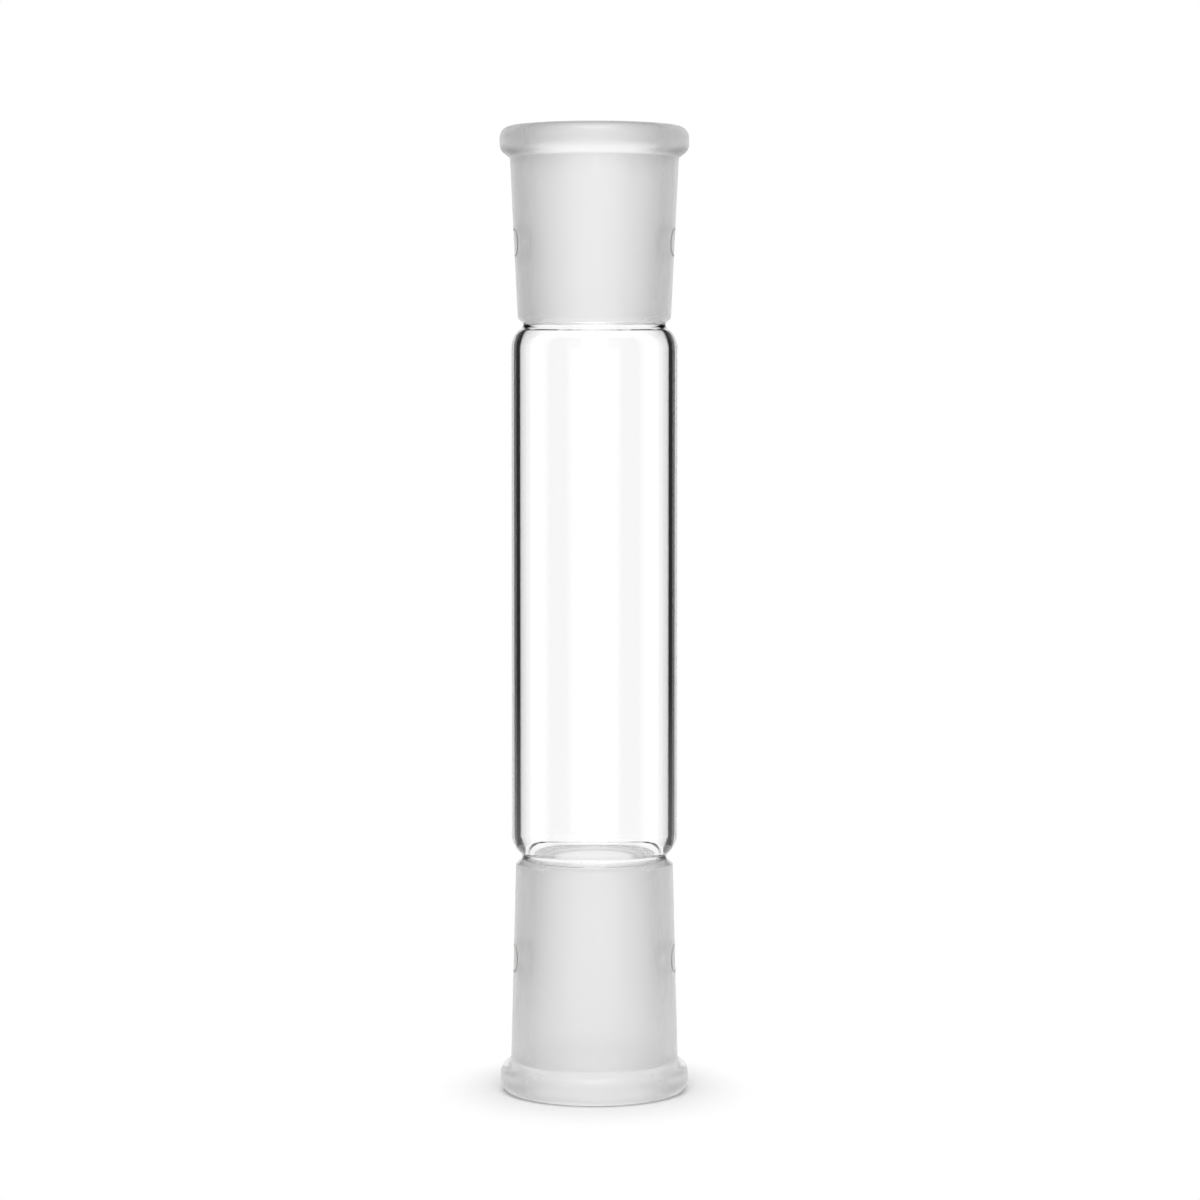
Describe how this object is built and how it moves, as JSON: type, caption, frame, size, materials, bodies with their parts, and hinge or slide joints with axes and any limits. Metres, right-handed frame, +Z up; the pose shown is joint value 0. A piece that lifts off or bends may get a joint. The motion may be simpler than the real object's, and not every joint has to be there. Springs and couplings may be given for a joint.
{
  "type": "glass cone adapter",
  "caption": "Straight clear glass tube with a ground conical socket and a beaded rim at each end, for joining two ground-glass cones.",
  "frame": {"origin": "centre of the lower rim's flat face, on which the adapter stands", "axes": "+Z up along the tube's axis, from the longer socket to the shorter one; it is round about +Z, so +X is any direction across it"},
  "size_m": [0.0254, 0.0254, 0.13],
  "materials": {
    "borosilicate_glass": "clear fire-polished tube and necks; both sockets and their rims finely ground and frosted"
  },
  "bodies": {
    "root": {"glass_adapter": "borosilicate_glass"}
  },
  "joints": []
}
